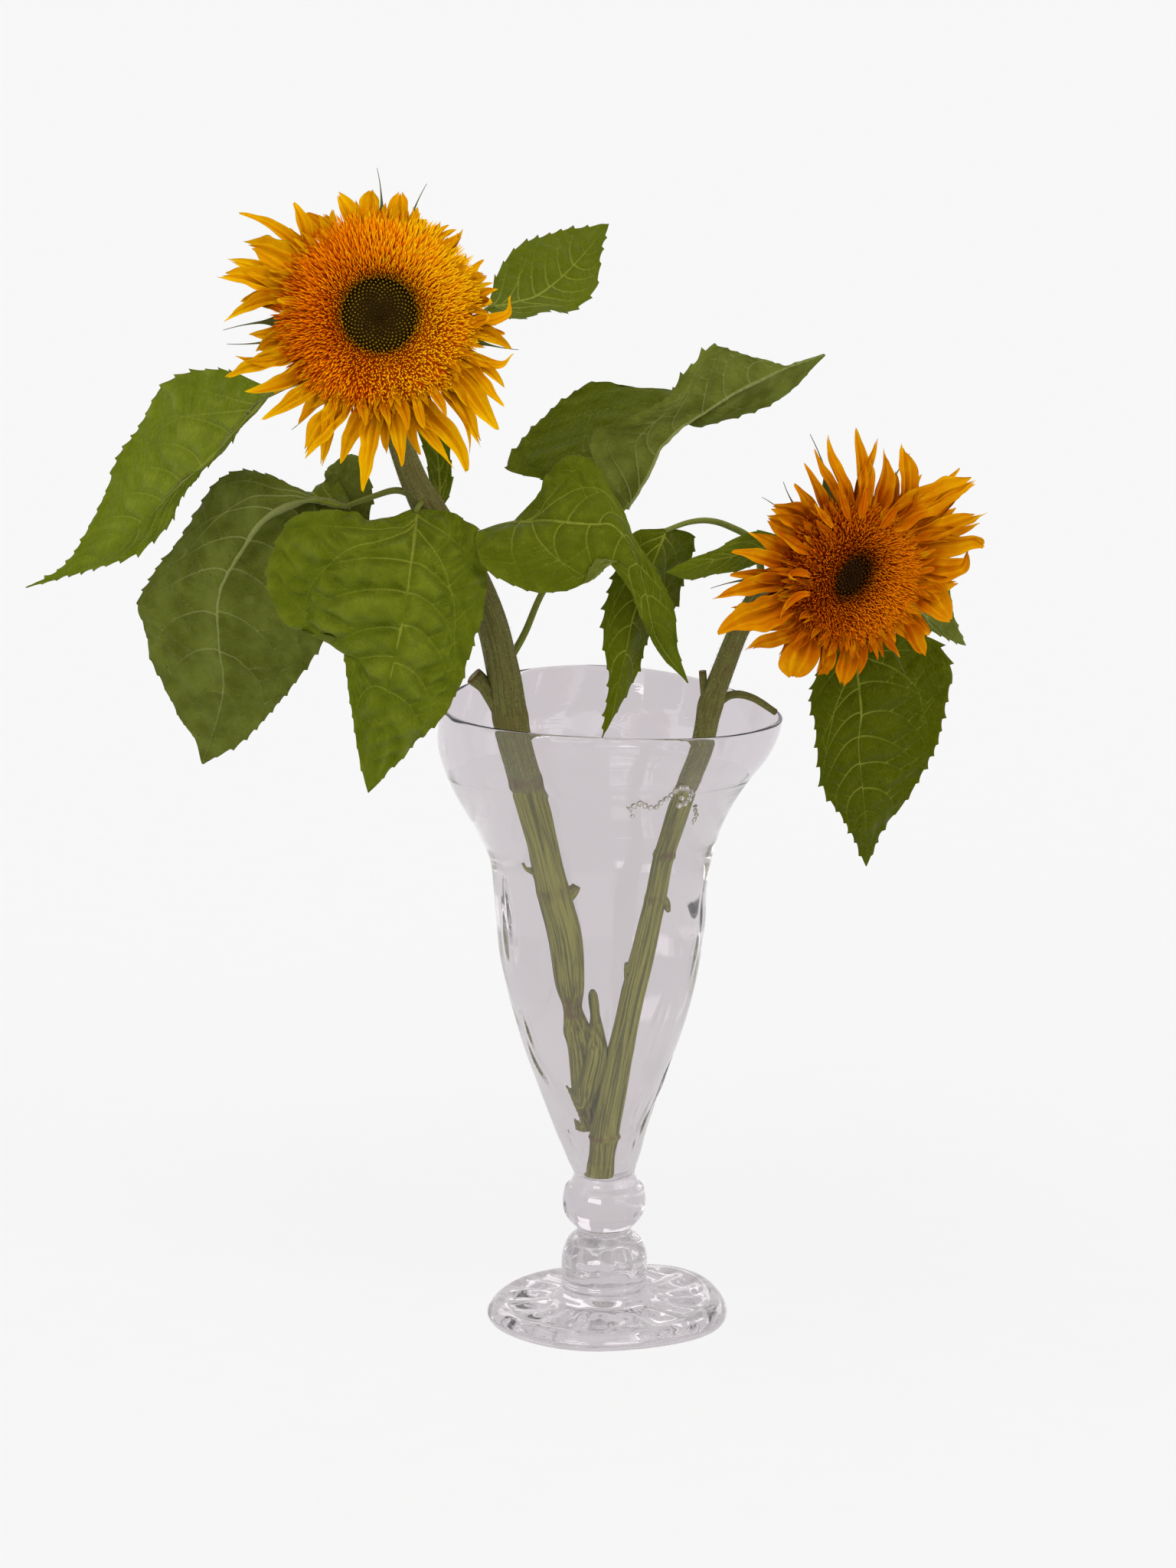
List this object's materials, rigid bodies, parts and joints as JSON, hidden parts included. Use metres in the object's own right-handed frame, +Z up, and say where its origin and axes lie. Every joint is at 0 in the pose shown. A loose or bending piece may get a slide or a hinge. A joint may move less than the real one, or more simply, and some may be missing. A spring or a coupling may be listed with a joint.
{
  "type": "sunflowers in a glass vase",
  "caption": "Double sunflowers on leafy stems leaning in a tall footed vase of clear blown glass with knops, nearly full of water.",
  "frame": {"origin": "centre of the underside of the vase's foot, on the surface that it stands on", "axes": "+Z up; -Y towards the front, the way the flowers face; +X to the right seen from the front"},
  "size_m": [0.4381, 0.1956, 0.5486],
  "materials": {
    "glass": "gloss",
    "water": "gloss",
    "stem": "matte",
    "leaf": "satin",
    "calyx": "matte",
    "petal": "matte",
    "floret": "matte",
    "disc": "matte"
  },
  "bodies": {
    "root": {"vase": "glass", "water": "water", "left_stem": "stem", "right_stem": "stem", "leaf_behind_left_flower": "leaf", "leaf_far_left": "leaf", "leaf_lower_left": "leaf", "leaf_centre": "leaf", "leaf_under_left_flower": "leaf", "leaf_upper_middle": "leaf", "leaf_middle_front": "leaf", "leaf_middle_hanging": "leaf", "leaf_beside_right_flower": "leaf", "leaf_lower_right": "leaf", "leaf_far_right": "leaf", "left_calyx": "calyx", "left_floret_ring": "floret", "left_disc": "disc", "left_petal_01": "petal", "left_petal_02": "petal", "left_petal_03": "petal", "left_petal_04": "petal", "left_petal_05": "petal", "left_petal_06": "petal", "left_petal_07": "petal", "left_petal_08": "petal", "left_petal_09": "petal", "left_petal_10": "petal", "left_petal_11": "petal", "left_petal_12": "petal", "left_petal_13": "petal", "left_petal_14": "petal", "left_petal_15": "petal", "left_petal_16": "petal", "left_petal_17": "petal", "left_petal_18": "petal", "left_petal_19": "petal", "right_calyx": "calyx", "right_floret_ring": "floret", "right_disc": "disc", "right_petal_01": "petal", "right_petal_02": "petal", "right_petal_03": "petal", "right_petal_04": "petal", "right_petal_05": "petal", "right_petal_06": "petal", "right_petal_07": "petal", "right_petal_08": "petal", "right_petal_09": "petal", "right_petal_10": "petal", "right_petal_11": "petal", "right_petal_12": "petal", "right_petal_13": "petal", "right_petal_14": "petal", "right_petal_15": "petal", "right_petal_16": "petal", "right_petal_17": "petal", "right_petal_18": "petal", "right_petal_19": "petal"}
  },
  "joints": []
}
